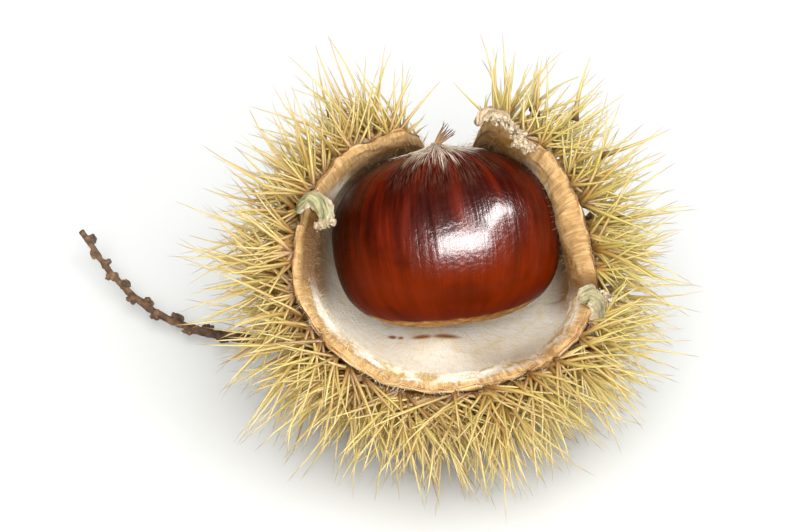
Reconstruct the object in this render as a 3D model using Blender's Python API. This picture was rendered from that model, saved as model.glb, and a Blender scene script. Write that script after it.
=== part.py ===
"""A ripe sweet chestnut in its open, spiny husk, with the dry catkin that the husk grew on.

Units are metres, +Z is up and the spines stand on z = 0. The origin is the middle of the
object's footprint. The husk is a thick-walled bowl that has split from its mouth, and the
mouth leans forward, towards -Y. The nut lies back in the bowl with its pointed tip up.
"""

import math
import random

import bmesh
import bpy
from mathutils import Matrix, Vector, noise

MM = 0.001

# Where the husk stands, and how far its mouth leans forward from the vertical
HUSK_CENTRE = Vector((8.6, -0.9, 25.2)) * MM
MOUTH_LEAN = math.radians(30)

# Husk wall: (angle round the mouth in degrees, rim radius, rim height above the centre)
RIM = (
    (0, 20.3 * MM, 5.5 * MM),
    (20, 19.8 * MM, 7.8 * MM),
    (40, 20.1 * MM, 9.6 * MM),
    (56, 19.4 * MM, 10.2 * MM),
    (70, 20.0 * MM, 9.6 * MM),
    (84, 19.8 * MM, 8.0 * MM),
    (102, 18.9 * MM, 6.2 * MM),
    (128, 19.3 * MM, 7.2 * MM),
    (152, 19.1 * MM, 8.6 * MM),
    (176, 19.3 * MM, 9.0 * MM),
    (200, 19.7 * MM, 8.2 * MM),
    (226, 19.5 * MM, 8.0 * MM),
    (266, 19.0 * MM, 7.3 * MM),
    (296, 19.3 * MM, 7.3 * MM),
    (318, 20.9 * MM, 7.0 * MM),
    (340, 21.4 * MM, 6.3 * MM),
)
BASE_DEPTH = 15.7 * MM
BACK_ROUNDNESS = 2.35
FRONT_ROUNDNESS = 1.8
BULGE = 1.3 * MM
BULGE_TO_RIGHT = 0.7 * MM
BULGE_TO_BACK = 1.6 * MM
FRONT_WALL = 3.4 * MM
BACK_WALL = 2.5 * MM
BASE_WALL = 4.0 * MM
CUSHION_HEIGHT = 3.0 * MM
CUSHION_WIDTH = 5.5 * MM
CUSHION_AT = -7.5 * MM
WAVE_HEIGHT = 0.25 * MM
WAVE_LENGTH = 3.5 * MM

# Splits in the wall: (angle in degrees, half width in degrees, share of the meridian cut away)
SPLITS = ((91, 13.0, 0.27), (349, 5.0, 0.16), (166, 4.0, 0.08))
SPLIT_STEEPNESS = 1.6
SPLIT_POWER = 0.75

# Withered valve tips: (angle in degrees, outward offset, height above the rim, size)
VALVE_TIPS = (
    (343, 1.3 * MM, 0.2 * MM, 2.3 * MM),
    (69, 0.4 * MM, 0.6 * MM, 1.9 * MM),
    (164, -0.7 * MM, 0.4 * MM, 2.0 * MM),
)

VALVE_TIP_UNEVENNESS = 0.3

# The wall's mesh, whose rows crowd towards the rim by this power
WALL_COLUMNS = 44
WALL_ROWS = 20
ROW_POWER = 1.35
MERIDIAN_STEP = 0.01

# Spines grow in stars, each from one small mound
STAR_SPACING = 4.9 * MM
FIRST_ROW = 2.5 * MM
LAST_ROW_BELOW_RIM = 1.0 * MM
ROW_MERIDIAN = 200
ROW_STEPS = 400
STAR_SCATTER = 0.18
ROW_SCATTER = 0.012
RIM_MARGIN = 0.03
MOUND_RADIUS = 0.85 * MM
STAR_LEAN = 0.42
LEAST_FACING = 0.12

# Spines: they are longest on the left, and each one is tried with a looser aim until it is clear
SPINE_LENGTH = (11.0 * MM, 17.0 * MM)
LONGER_TO_LEFT = 0.16
SPINE_CLEARANCE = 0.2 * MM
SPINE_BASE = 0.55
SPINE_TRIES = 9
SPINE_JITTER = 0.12
JITTER_PER_TRY = 0.07
SPINE_CHECKS = 8
STEEPEST_ON_FLOOR = 0.95
NEARLY_UPRIGHT = 0.25

# Beside the wide split the stars lean away from it
PARTING_REACH = 16.0
PARTING_ABOVE = 0.35
PARTING_LEAN = 1.5
PARTING_POWER = 0.7

# Nut
NUT_CENTRE = Vector((0.9, 5.0, 0.0)) * MM
NUT_HALF_WIDTH = 16.4 * MM
NUT_HALF_HEIGHT = 12.7 * MM
NUT_HALF_DEPTH = 10.8 * MM
NUT_TIP_RISE = math.radians(70)
NUT_TURN = math.radians(2)
NUT_ROUNDNESS = 2.25
NUT_BACK_FLATNESS = 0.9
BEAK_RADIUS = 1.8 * MM
BEAK_HEIGHT = 0.9 * MM
STYLE_COUNT = 7
STYLE_LENGTH = 3.0 * MM
STYLE_RADIUS = (0.28 * MM, 0.05 * MM)
STYLE_LEAN = 0.75
STYLE_FAN = 1.1
STYLE_FORWARD = 0.4
STYLE_SPREAD = 0.2
STYLE_FOOT = 0.55

# Catkin: points from the husk's base to the free end, measured from the husk's centre
CATKIN_PATH = (
    (-1.0 * MM, 8.6 * MM, -16.9 * MM),
    (-8.0 * MM, 9.6 * MM, -20.9 * MM),
    (-19.0 * MM, 10.5 * MM, -22.7 * MM),
    (-32.5 * MM, 11.8 * MM, -22.9 * MM),
    (-42.3 * MM, 16.4 * MM, -22.7 * MM),
    (-49.5 * MM, 24.0 * MM, -21.9 * MM),
    (-55.4 * MM, 33.3 * MM, -20.2 * MM),
)
CATKIN_THICK = 0.85 * MM
CATKIN_THIN = 0.42 * MM
CATKIN_SIDES = 5
CATKIN_STEPS = 8
KNOT_SPACING = 2.75 * MM
KNOT_RADIUS = (1.25 * MM, 0.85 * MM)
KNOT_ASIDE = 0.45
KNOT_RISE = 0.15
KNOT_UNEVENNESS = 0.35
CATKIN_CLEARANCE = 2.2 * MM


def clear_scene():
    for old in list(bpy.data.objects):
        bpy.data.objects.remove(old, do_unlink=True)


def husk_matrix():
    """The husk's own frame: X to the right, Y up the back of the bowl, Z out of its mouth."""
    return Matrix.Translation(HUSK_CENTRE) @ Matrix.Rotation(MOUTH_LEAN, 4, "X")


def material(name, colour, roughness):
    made = bpy.data.materials.new(name)
    made.use_nodes = True
    shader = made.node_tree.nodes["Principled BSDF"]
    shader.inputs["Base Color"].default_value = (*colour, 1)
    shader.inputs["Roughness"].default_value = roughness
    shader.inputs["Metallic"].default_value = 0.0
    return made


def object_from(bm, name, finish=None):
    mesh = bpy.data.meshes.new(name)
    bm.to_mesh(mesh)
    bm.free()
    made = bpy.data.objects.new(name, mesh)
    if finish:
        mesh.materials.append(finish)
    bpy.context.scene.collection.objects.link(made)
    return made


def union(base, helpers):
    """Joins the helper objects to the base in one Boolean, applies it and removes them.

    The Manifold solver is used because the exact one takes minutes over so many spines.
    """
    group = bpy.data.collections.new(base.name + "_parts")
    bpy.context.scene.collection.children.link(group)
    for helper in helpers:
        bpy.context.scene.collection.objects.unlink(helper)
        group.objects.link(helper)
    join = base.modifiers.new("join", "BOOLEAN")
    join.operation = "UNION"
    join.operand_type = "COLLECTION"
    join.collection = group
    join.solver = "MANIFOLD"
    bpy.context.view_layer.update()
    graph = bpy.context.evaluated_depsgraph_get()
    joined = bpy.data.meshes.new_from_object(base.evaluated_get(graph))
    base.modifiers.clear()
    base.data = joined
    for helper in helpers:
        bpy.data.objects.remove(helper, do_unlink=True)
    bpy.data.collections.remove(group)


def round_the_rim(degrees):
    """Rim radius and height at an angle: a smooth closed curve through the RIM points."""
    degrees %= 360
    count = len(RIM)
    after = next((i for i, row in enumerate(RIM) if row[0] > degrees), 0)
    rows = [RIM[(after + step) % count] for step in (-2, -1, 0, 1)]
    start = rows[1][0]
    gap = (rows[2][0] - start) % 360
    t = ((degrees - start) % 360) / gap
    weights = (
        (-t + 2 * t**2 - t**3) / 2,
        (2 - 5 * t**2 + 3 * t**3) / 2,
        (t + 4 * t**2 - 3 * t**3) / 2,
        (t**3 - t**2) / 2,
    )
    return [sum(w * row[k] for w, row in zip(weights, rows)) for k in (1, 2)]


def angle_apart(a, b):
    return abs((a - b + 180) % 360 - 180)


def meridian_share(degrees):
    """How much of the meridian is left at this angle: 1, or less where the wall has split."""
    share = 1.0
    for at, half_width, cut in SPLITS:
        inside = 1 - angle_apart(degrees, at) / half_width
        if inside > 0:
            share -= cut * min(1.0, SPLIT_STEEPNESS * inside) ** SPLIT_POWER
    return share


def middle_of_wall(degrees, s):
    """A point midway through the wall: s is 0 at the base and 1 at the uncut rim."""
    radius, height = round_the_rim(degrees)
    turn = math.radians(degrees)
    front = max(0.0, -math.sin(turn))
    roundness = BACK_ROUNDNESS + (FRONT_ROUNDNESS - BACK_ROUNDNESS) * front
    bulge = BULGE + BULGE_TO_RIGHT * math.cos(turn) + BULGE_TO_BACK * math.sin(turn)
    sine = math.sin(math.pi * s / 2) ** (2 / roundness)
    cosine = max(0.0, math.cos(math.pi * s / 2)) ** (2 / roundness)
    out = radius * sine + bulge * math.sin(math.pi * s * s) ** 2
    up = height - (height + BASE_DEPTH) * cosine
    return Vector((out * math.cos(turn), out * math.sin(turn), up))


def up_the_wall(degrees, s):
    """Direction up the meridian, from a short step to each side."""
    above = middle_of_wall(degrees, s + MERIDIAN_STEP)
    return (above - middle_of_wall(degrees, s - MERIDIAN_STEP)).normalized()


def round_the_wall(degrees):
    turn = math.radians(degrees)
    return Vector((-math.sin(turn), math.cos(turn), 0))


def wall_normal(degrees, s):
    """Outward direction of the wall, kept a step away from the base and the rim."""
    s = min(max(s, 2 * MERIDIAN_STEP), 1 - 1.5 * MERIDIAN_STEP)
    return round_the_wall(degrees).cross(up_the_wall(degrees, s)).normalized()


def wall_surface(degrees, s, side):
    """A point on the wall: side is 1 outside, -1 in the lining and 0 on the rim's crest."""
    point = middle_of_wall(degrees, s)
    normal = wall_normal(degrees, s)
    if s < 2 * MERIDIAN_STEP:
        normal = Vector((0, 0, -1))
    back = 0.5 + 0.5 * math.sin(math.radians(degrees))
    thickness = FRONT_WALL + (BACK_WALL - FRONT_WALL) * back
    thickness += (BASE_WALL - thickness) * (1 - s) ** 2
    point += normal * side * thickness / 2
    if side < 0:
        spot = Vector((point.x, point.y - CUSHION_AT))
        point.z += CUSHION_HEIGHT * math.exp(-((spot.length / CUSHION_WIDTH) ** 2))
    return point


def husk_wall(finish):
    """The bowl: a ball whose lower half is the outside and whose upper half is pushed in."""
    bm = bmesh.new()
    bmesh.ops.create_uvsphere(bm, u_segments=WALL_COLUMNS, v_segments=WALL_ROWS, radius=1)
    for vert in bm.verts:
        degrees = math.degrees(math.atan2(vert.co.y, vert.co.x))
        latitude = math.asin(max(-1.0, min(1.0, vert.co.z))) / (math.pi / 2)
        if abs(latitude) > 0.999:
            degrees = 0.0
        share = meridian_share(degrees)
        s = (1 - abs(latitude) ** ROW_POWER) * share
        if abs(latitude) < 0.001:
            vert.co = wall_surface(degrees, s, 0)
            continue
        vert.co = wall_surface(degrees, max(s, 0.0), -math.copysign(1, latitude))
        vert.co += wall_normal(degrees, s) * noise.noise(vert.co / WAVE_LENGTH) * WAVE_HEIGHT
    bmesh.ops.recalc_face_normals(bm, faces=bm.faces)
    return object_from(bm, "husk", finish)


def valve_tip(degrees, outward, rise, size):
    """One withered end of a valve: a lump that sits across the rim."""
    share = meridian_share(degrees)
    place = middle_of_wall(degrees, share)
    turn = math.radians(degrees)
    place += Vector((math.cos(turn), math.sin(turn), 0)) * outward
    place.z += rise
    bm = bmesh.new()
    bmesh.ops.create_icosphere(bm, subdivisions=2, radius=size)
    for vert in bm.verts:
        lump = 1 + VALVE_TIP_UNEVENNESS * noise.noise(vert.co / size + place / MM)
        vert.co = vert.co * lump + place
    return object_from(bm, "valve_tip")


def nearest_on_segment(point, start, end):
    along = end - start
    t = (point - start).dot(along) / along.length_squared
    t = min(1.0, max(0.0, t))
    return start + along * t, t


def meets(start, tip, placed):
    """Whether a spine would touch one that stands already. Spines taper to nothing."""
    base = MOUND_RADIUS * SPINE_BASE
    for step in range(1, SPINE_CHECKS + 1):
        share = step / SPINE_CHECKS
        point = start.lerp(tip, share)
        own = base * (1 - share)
        for other_start, other_tip in placed:
            if (other_start - start).length > 3 * SPINE_LENGTH[1]:
                continue
            near, t = nearest_on_segment(point, other_start, other_tip)
            if (near - point).length < own + base * (1 - t) + SPINE_CLEARANCE:
                return True
    return False


def near_catkin(start, tip, catkin):
    for step in range(SPINE_CHECKS + 1):
        point = start.lerp(tip, step / SPINE_CHECKS)
        for a, b in zip(catkin, catkin[1:]):
            near, _ = nearest_on_segment(point, a, b)
            if (near - point).length < CATKIN_CLEARANCE:
                return True
    return False


def on_the_floor(start, direction, length):
    """The tip of a spine, splayed where it would reach below the surface it stands on."""
    tip = start + direction * length
    if tip.z >= 0:
        return tip
    sine = min(STEEPEST_ON_FLOOR, start.z / length)
    level = Vector((direction.x, direction.y, 0))
    if level.length < NEARLY_UPRIGHT:
        level = Vector((start.x - HUSK_CENTRE.x, start.y - HUSK_CENTRE.y, 0))
    level.normalize()
    tip = start + level * length * math.sqrt(1 - sine * sine)
    tip.z = start.z - length * sine
    return tip


def star_places():
    """Where the stars stand: staggered rings up the outside of the wall, in husk coordinates."""
    draw = random.Random(11)
    outline = [wall_surface(ROW_MERIDIAN, i / ROW_STEPS, 1) for i in range(ROW_STEPS + 1)]
    reach = [0.0]
    for a, b in zip(outline, outline[1:]):
        reach.append(reach[-1] + (b - a).length)
    rows = round((reach[-1] - FIRST_ROW - LAST_ROW_BELOW_RIM) / STAR_SPACING)
    places = []
    for row in range(rows + 1):
        along = FIRST_ROW + (reach[-1] - FIRST_ROW - LAST_ROW_BELOW_RIM) * row / rows
        step = next(i for i, r in enumerate(reach) if r >= along)
        radius = Vector(outline[step][:2]).length
        count = max(3, round(2 * math.pi * radius / STAR_SPACING))
        for i in range(count):
            place = i + 0.5 * (row % 2) + draw.uniform(-STAR_SCATTER, STAR_SCATTER)
            degrees = 360 * place / count
            at = step / ROW_STEPS + draw.uniform(-ROW_SCATTER, ROW_SCATTER)
            if at < meridian_share(degrees) - RIM_MARGIN:
                places.append((degrees % 360, at))
    return places


def parting(degrees, s):
    """How a star beside the wide split leans: away from it to both sides, and down below it."""
    at, half_width, _ = SPLITS[0]
    off = (degrees - at + 180) % 360 - 180
    near = max(0.0, 1 - abs(off) / (half_width + PARTING_REACH))
    if s < PARTING_ABOVE:
        return Vector((0, 0, 0))
    aside = round_the_wall(degrees) * math.copysign(1, off)
    return (aside - up_the_wall(degrees, s)) * PARTING_LEAN * near**PARTING_POWER


def spine_stars(catkin):
    """Every star of spines: a small mound whose outer faces are drawn out into points."""
    draw = random.Random(5)
    to_world = husk_matrix()
    turned = to_world.to_3x3()
    placed = []
    stars = []
    for degrees, s in star_places():
        root = to_world @ wall_surface(degrees, s, 1)
        outward = (turned @ wall_normal(degrees, s)).normalized()
        lean = outward * STAR_LEAN + turned @ parting(degrees, s)
        longer = 1 + LONGER_TO_LEFT * max(0.0, -outward.x)
        bm = bmesh.new()
        bmesh.ops.create_icosphere(bm, subdivisions=1, radius=MOUND_RADIUS)
        spin = Matrix.Rotation(draw.uniform(0, math.tau), 3, "Z")
        spin = Matrix.Rotation(draw.uniform(0, math.tau), 3, "X") @ spin
        bmesh.ops.transform(bm, matrix=Matrix.Translation(root) @ spin.to_4x4(), verts=bm.verts)
        bm.faces.ensure_lookup_table()
        own = []
        for face in list(bm.faces):
            facing = face.normal.dot(outward)
            if facing < LEAST_FACING:
                continue
            start = face.calc_center_median()
            for trial in range(SPINE_TRIES):
                loose = SPINE_JITTER + JITTER_PER_TRY * trial
                jitter = Vector([draw.uniform(-loose, loose) for _ in range(3)])
                direction = (face.normal + lean + jitter).normalized()
                length = draw.uniform(*SPINE_LENGTH) * longer
                tip = on_the_floor(start, direction, length)
                if not (near_catkin(start, tip, catkin) or meets(start, tip, placed)):
                    own.append((face, start, tip))
                    break
        for face, start, tip in own:
            poked = bmesh.ops.poke(bm, faces=[face])
            poked["verts"][0].co = tip
        placed += [(start, tip) for _, start, tip in own]
        bmesh.ops.transform(bm, matrix=to_world.inverted(), verts=bm.verts)
        stars.append(object_from(bm, "star"))
    print("stars", len(stars), "spines", len(placed))
    return stars


def husk(catkin):
    finish = material("husk_brown", (0.36, 0.27, 0.10), 0.75)
    wall = husk_wall(finish)
    lumps = [valve_tip(*row) for row in VALVE_TIPS]
    union(wall, lumps + spine_stars(catkin))
    wall.matrix_world = husk_matrix()
    return wall


def nut_matrix():
    """The nut's own frame: X across it, Y out of its flatter back, Z towards its tip."""
    return (
        husk_matrix()
        @ Matrix.Translation(NUT_CENTRE)
        @ Matrix.Rotation(-NUT_TIP_RISE, 4, "X")
        @ Matrix.Rotation(NUT_TURN, 4, "Y")
    )


def nut_body(finish):
    """A rounded body, wider than tall, with a flat foot and shoulders that rise to a beak."""
    bm = bmesh.new()
    bmesh.ops.create_uvsphere(bm, u_segments=32, v_segments=20, radius=1)
    for vert in bm.verts:
        up = vert.co.z
        level = math.hypot(vert.co.x, vert.co.y)
        around = math.atan2(vert.co.y, vert.co.x)
        swell = (abs(up) ** NUT_ROUNDNESS + level**NUT_ROUNDNESS) ** (-1 / NUT_ROUNDNESS)
        back = NUT_BACK_FLATNESS if math.sin(around) > 0 else 1.0
        vert.co = Vector(
            (
                NUT_HALF_WIDTH * level * swell * math.cos(around),
                NUT_HALF_DEPTH * back * level * swell * math.sin(around),
                NUT_HALF_HEIGHT * up * swell,
            )
        )
        beak = math.exp(-((Vector(vert.co[:2]).length / BEAK_RADIUS) ** 2))
        if up > 0:
            vert.co.z += BEAK_HEIGHT * beak
    bmesh.ops.recalc_face_normals(bm, faces=bm.faces)
    return object_from(bm, "nut", finish)


def style(number):
    """One dry bristle of the tuft at the tip, leaning to the right with the others."""
    lean = STYLE_LEAN + (number / (STYLE_COUNT - 1) - 0.5) * STYLE_FAN
    forward = STYLE_FORWARD + STYLE_SPREAD * (-1) ** number
    way = Vector((math.sin(lean), -forward, math.cos(lean))).normalized()
    foot = Vector((0, 0, NUT_HALF_HEIGHT + BEAK_HEIGHT * STYLE_FOOT))
    bm = bmesh.new()
    bmesh.ops.create_cone(
        bm,
        segments=3,
        cap_ends=True,
        radius1=STYLE_RADIUS[0],
        radius2=STYLE_RADIUS[1],
        depth=STYLE_LENGTH,
    )
    turn = way.to_track_quat("Z", "Y").to_matrix().to_4x4()
    place = Matrix.Translation(foot + way * STYLE_LENGTH * 0.5)
    bmesh.ops.transform(bm, matrix=place @ turn, verts=bm.verts)
    return object_from(bm, "style")


def nut():
    finish = material("nut_brown", (0.25, 0.035, 0.008), 0.22)
    body = nut_body(finish)
    union(body, [style(i) for i in range(STYLE_COUNT)])
    body.matrix_world = nut_matrix()
    return body


def catkin_line():
    """Evenly spaced points on a smooth curve through CATKIN_PATH, in world coordinates."""
    points = [HUSK_CENTRE + Vector(p) for p in CATKIN_PATH]
    padded = [2 * points[0] - points[1], *points, 2 * points[-1] - points[-2]]
    line = []
    for i in range(1, len(padded) - 2):
        p0, p1, p2, p3 = padded[i - 1 : i + 3]
        for k in range(CATKIN_STEPS):
            t = k / CATKIN_STEPS
            line.append(
                0.5
                * (
                    2 * p1
                    + (p2 - p0) * t
                    + (2 * p0 - 5 * p1 + 4 * p2 - p3) * t**2
                    + (3 * p1 - p0 - 3 * p2 + p3) * t**3
                )
            )
    return [*line, points[-1]]


def catkin(line):
    """A thin dry axis with the shrivelled flower knots on alternate sides of it."""
    finish = material("catkin_brown", (0.16, 0.08, 0.035), 0.85)
    bm = bmesh.new()
    rings = []
    for i, point in enumerate(line):
        share = i / (len(line) - 1)
        radius = CATKIN_THICK + (CATKIN_THIN - CATKIN_THICK) * share
        ahead = line[min(i + 1, len(line) - 1)] - line[max(i - 1, 0)]
        turn = ahead.to_track_quat("Z", "Y").to_matrix()
        ring = []
        for k in range(CATKIN_SIDES):
            around = math.tau * k / CATKIN_SIDES
            spoke = turn @ Vector((math.cos(around), math.sin(around), 0))
            ring.append(bm.verts.new(point + spoke * radius))
        rings.append(ring)
    for a, b in zip(rings, rings[1:]):
        for k in range(CATKIN_SIDES):
            nxt = (k + 1) % CATKIN_SIDES
            bm.faces.new((a[k], a[nxt], b[nxt], b[k]))
    bm.faces.new(rings[0][::-1])
    bm.faces.new(rings[-1])
    bmesh.ops.recalc_face_normals(bm, faces=bm.faces)
    axis = object_from(bm, "catkin", finish)
    union(axis, knots(line))
    return axis


def knots(line):
    """Shrivelled flower knots at even steps along the catkin, on alternate sides of it."""
    reach = 0.0
    due = KNOT_SPACING
    total = sum((b - a).length for a, b in zip(line, line[1:]))
    made = []
    for a, b in zip(line, line[1:]):
        step = (b - a).length
        reach += step
        if reach < due:
            continue
        due += KNOT_SPACING
        share = reach / total
        size = KNOT_RADIUS[0] + (KNOT_RADIUS[1] - KNOT_RADIUS[0]) * share
        along = (b - a).normalized()
        side = along.cross(Vector((0, 0, 1))).normalized() * (-1) ** len(made)
        place = b + side * size * KNOT_ASIDE + Vector((0, 0, KNOT_RISE * size))
        bm = bmesh.new()
        bmesh.ops.create_icosphere(bm, subdivisions=1, radius=size)
        for vert in bm.verts:
            vert.co *= 1 + KNOT_UNEVENNESS * noise.noise(vert.co / MM + place / MM)
            vert.co += place
        made.append(object_from(bm, "knot"))
    return made


def main():
    clear_scene()
    line = catkin_line()
    husk(line)
    nut()
    catkin(line)


main()
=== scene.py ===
import math

import bpy
import numpy as np
from mathutils import Matrix, Vector


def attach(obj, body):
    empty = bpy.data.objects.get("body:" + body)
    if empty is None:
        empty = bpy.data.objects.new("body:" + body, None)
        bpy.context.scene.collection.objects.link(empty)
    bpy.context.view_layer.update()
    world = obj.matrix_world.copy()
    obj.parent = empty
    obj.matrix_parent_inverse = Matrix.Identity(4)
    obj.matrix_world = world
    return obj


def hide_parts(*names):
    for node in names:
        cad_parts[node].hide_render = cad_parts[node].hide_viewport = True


# A ripe chestnut in its open, spiny husk, with the dry catkin that the husk grew on.
# Lengths in this file are millimetres, and meshFrom turns them into metres.

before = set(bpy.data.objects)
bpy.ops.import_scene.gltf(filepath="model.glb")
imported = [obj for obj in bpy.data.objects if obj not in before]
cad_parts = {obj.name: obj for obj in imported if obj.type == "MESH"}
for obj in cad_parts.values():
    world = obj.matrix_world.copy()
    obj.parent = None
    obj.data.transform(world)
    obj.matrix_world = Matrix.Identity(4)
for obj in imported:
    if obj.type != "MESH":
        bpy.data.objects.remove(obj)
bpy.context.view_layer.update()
mm = 0.001
print("frame loaded:", sorted(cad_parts))


hashing = {"primes": (73856093, 19349663, 83492791), "seedStep": 2654435761, "mask": 0xFFFFFFFF,
           "rounds": ((13, 1274126177), (16, 1)), "offset": 31.7}


def unit(vectors):
    # Each vector divided by its length
    return vectors / np.maximum(np.linalg.norm(vectors, axis=-1, keepdims=True), 1e-12)


def ease(share):
    # Smooth step: 3x^2 - 2x^3 between 0 and 1
    x = np.clip(share, 0.0, 1.0)
    return x * x * (3 - 2 * x)


def softNoise(points, size, seed=0, octaves=1):
    # Value noise from -1 to 1: a hashed number at each corner of a cube, blended by smooth steps.
    # Each octave is half the size and half the height of the one before
    total, height, full = np.zeros(points.shape[:-1]), 1.0, 0.0
    for octave in range(octaves):
        scaled = points / size * 2.0 ** octave + hashing["offset"]
        cell = np.floor(scaled).astype(np.int64)
        part = ease(scaled - cell)
        value = np.zeros(points.shape[:-1])
        for corner in np.ndindex(2, 2, 2):
            mixed = np.bitwise_xor.reduce((cell + np.array(corner)) * np.array(hashing["primes"]), axis=-1)
            mixed = (mixed ^ ((seed + octave) * hashing["seedStep"])) & hashing["mask"]
            for shift, factor in hashing["rounds"]:
                mixed = ((mixed ^ (mixed >> shift)) * factor) & hashing["mask"]
            value += np.where(np.array(corner) == 1, part, 1 - part).prod(-1) * mixed / hashing["mask"]
        total += height * (2 * value - 1)
        full += height
        height *= 0.5
    return total / full


def cubicBlend(t, before, start, end, after):
    # The smooth curve from start (t = 0) to end (t = 1) that also heeds the points on either side
    return ((-t + 2 * t**2 - t**3) * before + (2 - 5 * t**2 + 3 * t**3) * start
            + (t + 4 * t**2 - 3 * t**3) * end + (t**3 - t**2) * after) / 2


def smoothPath(points, steps):
    # A curve through the points, with the first and last stretch carried on past the ends
    points = np.array(points, float)
    padded = np.concatenate([[2 * points[0] - points[1]], points, [2 * points[-1] - points[-2]]])
    t = (np.arange(steps) / steps)[None, :, None]
    line = cubicBlend(t, *(padded[k:len(padded) - 3 + k, None] for k in range(4)))
    return np.concatenate([line.reshape(-1, 3), points[-1:]])


def placesOn(values, at, known):
    # Rows of values read off at new places, evenly between the known ones
    return np.stack([np.interp(at, known, column) for column in values.T], -1)


def reachAlong(line):
    # The length of a line up to each of its points
    return np.concatenate([[0], np.cumsum(np.linalg.norm(np.diff(line, axis=0), axis=1))])


def frameOf(line, facing):
    # Directions at each point of a line: along it, across both it and the facing, and square to those
    step = unit(np.gradient(line, axis=0))
    across = unit(np.cross(step, facing))
    return step, across, np.cross(across, step)


def turnsRound(count):
    # Even angles round a circle, in radians
    return np.arange(count) * 2 * np.pi / count


def turned(turn, out, up):
    # Points at a distance out from the Z axis, turned round it, at a height
    return np.stack(np.broadcast_arrays(out * np.cos(turn), out * np.sin(turn), up), -1)


def spokes(turn, first, second):
    # Directions round each ring: cos(turn) x first + sin(turn) x second
    return np.cos(turn)[:, None] * first[:, None] + np.sin(turn)[:, None] * second[:, None]


def meshFrom(name, points, faces, traits):
    # A closed mesh from points in mm and arrays of triangles or quads, turned over if its volume, the
    # sum of a . (b x c) over its triangles, is negative
    fan = np.concatenate([f[:, (0, i, i + 1)] for f in faces for i in range(1, f.shape[1] - 1)])
    a, b, c = (points[fan[:, i]] for i in range(3))
    if np.einsum("ij,ij->i", a, np.cross(b, c)).sum() < 0:
        faces = [f[:, ::-1] for f in faces]
    corners = np.concatenate([f.reshape(-1) for f in faces]).astype(np.int32)
    sizes = np.concatenate([np.full(len(f), f.shape[1]) for f in faces])
    starts = np.concatenate([[0], np.cumsum(sizes)[:-1]]).astype(np.int32)
    made = bpy.data.meshes.new(name)
    made.vertices.add(len(points))
    made.vertices.foreach_set("co", (points * mm).astype(np.float32).ravel())
    made.loops.add(len(corners))
    made.loops.foreach_set("vertex_index", corners)
    made.polygons.add(len(sizes))
    made.polygons.foreach_set("loop_start", starts)
    made.update(calc_edges=True)
    made.validate()
    made.shade_smooth()
    for key, values in traits.items():
        kind, field = ("FLOAT", "value") if values.ndim == 1 else ("FLOAT_VECTOR", "vector")
        made.attributes.new(key, kind, "POINT").data.foreach_set(field, values.astype(np.float32).ravel())
    return made


def placed(name, data):
    # A new object at the origin, linked to the scene
    made = bpy.data.objects.new(name, data)
    bpy.context.scene.collection.objects.link(made)
    return made


def addPiece(name, points, faces, finish, node, traits):
    # The mesh as an object that rides on the body and stands for its CAD node
    piece = placed(name, meshFrom(name, points, faces, traits))
    piece.data.materials.append(finish)
    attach(piece, "root")
    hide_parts(node)
    triangles = sum(len(f) * (f.shape[1] - 2) for f in faces)
    print(f"{name}: {triangles} triangles")


def poleFaces(ring, pole):
    # A fan of triangles from a ring of point numbers to one pole
    return np.stack([ring, np.roll(ring, -1), np.full(len(ring), pole)], -1)


def closedFaces(rows, columns):
    # Quads between neighbouring rows of a grid that closes round its columns, and triangles from
    # its first and last row to a pole each
    a = np.arange(rows * columns).reshape(rows, columns)
    b = np.roll(a, -1, axis=1)
    quads = np.stack([a[:-1], b[:-1], b[1:], a[1:]], -1).reshape(-1, 4)
    return [quads, np.concatenate([poleFaces(a[0], a.size)[:, ::-1], poleFaces(a[-1], a.size + 1)])]


def closedGrid(grid, firstPole, lastPole):
    # Rows of rings with a point at each end: the points, and the faces that close them
    points = np.concatenate([grid.reshape(-1, 3), firstPole[None], lastPole[None]])
    return points, closedFaces(*grid.shape[:2])


def repeated(faces, count, each):
    # The same faces for every copy, with the point numbers moved on by a copy's points
    offset = (np.arange(count) * each)[:, None, None]
    return [(f + offset).reshape(-1, f.shape[1]) for f in faces]


def needles(roots, tips, radii, tipRadius, sides, steps, bends, draw, flare=0.0, flareReach=0.07):
    # Tapered tubes: centre line = root + (tip - root) t + a sideways bow of 4t(1 - t), and the
    # radius falls evenly from base to tip, with a flare that dies away as exp(-t / flareReach)
    count = len(roots)
    along = tips - roots
    length = np.linalg.norm(along, axis=1)
    way = along / length[:, None]
    aside = unit(np.cross(way, draw.normal(size=(count, 3))))
    other = np.cross(way, aside)
    t = np.linspace(0, 1, steps + 1) ** 1.15
    bow = (bends * length)[:, None] * 4 * t * (1 - t)
    centre = roots[:, None] + along[:, None] * t[None, :, None] + aside[:, None] * bow[..., None]
    base = np.full(count, radii)[:, None]
    radius = base + (tipRadius - base) * t
    radius = radius * (1 + flare * np.exp(-t / flareReach))
    rings = centre[:, :-1, None] + radius[:, :-1, None, None] * spokes(turnsRound(sides), aside, other)[:, None]
    points = np.concatenate([rings.reshape(count, -1, 3), roots[:, None], tips[:, None]], 1)
    share = np.concatenate([np.repeat(t[:-1], sides), [0, 1]])
    each = steps * sides + 2
    faces = repeated(closedFaces(steps, sides), count, each)
    return points.reshape(-1, 3), faces, np.tile(share, count), each


def axesFrom(first, draw):
    # Three square axes for each lump: the given one, and two turned round it at random
    second = unit(np.cross(first, draw.normal(size=first.shape)))
    return np.stack([first, second, np.cross(first, second)], -1)


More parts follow.
